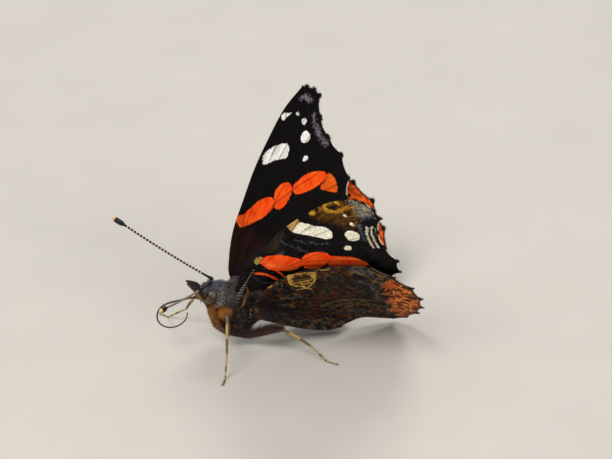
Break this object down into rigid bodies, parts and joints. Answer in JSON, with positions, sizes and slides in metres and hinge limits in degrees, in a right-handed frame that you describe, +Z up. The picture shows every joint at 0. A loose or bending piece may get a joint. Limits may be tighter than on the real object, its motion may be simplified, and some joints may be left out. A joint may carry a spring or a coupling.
{
  "type": "butterfly",
  "caption": "Red admiral butterfly standing on its legs with its wings half raised and its tongue partly uncoiled; a still museum model at life size.",
  "frame": {"origin": "middle of the bounding box in plan, at the floor under the feet", "axes": "+Z up, the butterfly faces -Y and its left side is towards +X"},
  "size_m": [0.0402, 0.0458, 0.0354],
  "materials": {
    "thorax": "short grey and brown fur",
    "head": "short grey fur",
    "abdomen": "dark brown scales and fur",
    "eye": "glossy brown",
    "palp": "dark scales, tan below",
    "tongue": "dark horny skin",
    "antenna": "black and white rings",
    "club": "black with a pale tip",
    "forewing": "velvety black scales with a red band and white spots",
    "hindwing": "marbled dark brown scales with an orange edge",
    "thigh": "brown scales",
    "shin": "golden scales",
    "foot": "golden scales"
  },
  "bodies": {
    "root": {"thorax": "thorax", "head": "head", "eye_left": "eye", "eye_right": "eye", "palp_left": "palp", "palp_right": "palp", "tongue_1": "tongue", "tongue_2": "tongue", "tongue_3": "tongue", "antenna_left": "antenna", "antenna_right": "antenna", "antenna_club_left": "club", "antenna_club_right": "club", "abdomen": "abdomen", "forewing_left": "forewing", "forewing_right": "forewing", "hindwing_left": "hindwing", "hindwing_right": "hindwing", "hip_mid_left": "thigh", "thigh_mid_left": "thigh", "shin_mid_left": "shin", "foot_mid_left": "foot", "hip_mid_right": "thigh", "thigh_mid_right": "thigh", "shin_mid_right": "shin", "foot_mid_right": "foot", "hip_hind_left": "thigh", "thigh_hind_left": "thigh", "shin_hind_left": "shin", "foot_hind_left": "foot", "hip_hind_right": "thigh", "thigh_hind_right": "thigh", "shin_hind_right": "shin", "foot_hind_right": "foot", "foreleg_left": "thigh", "foreleg_right": "thigh"}
  },
  "joints": []
}
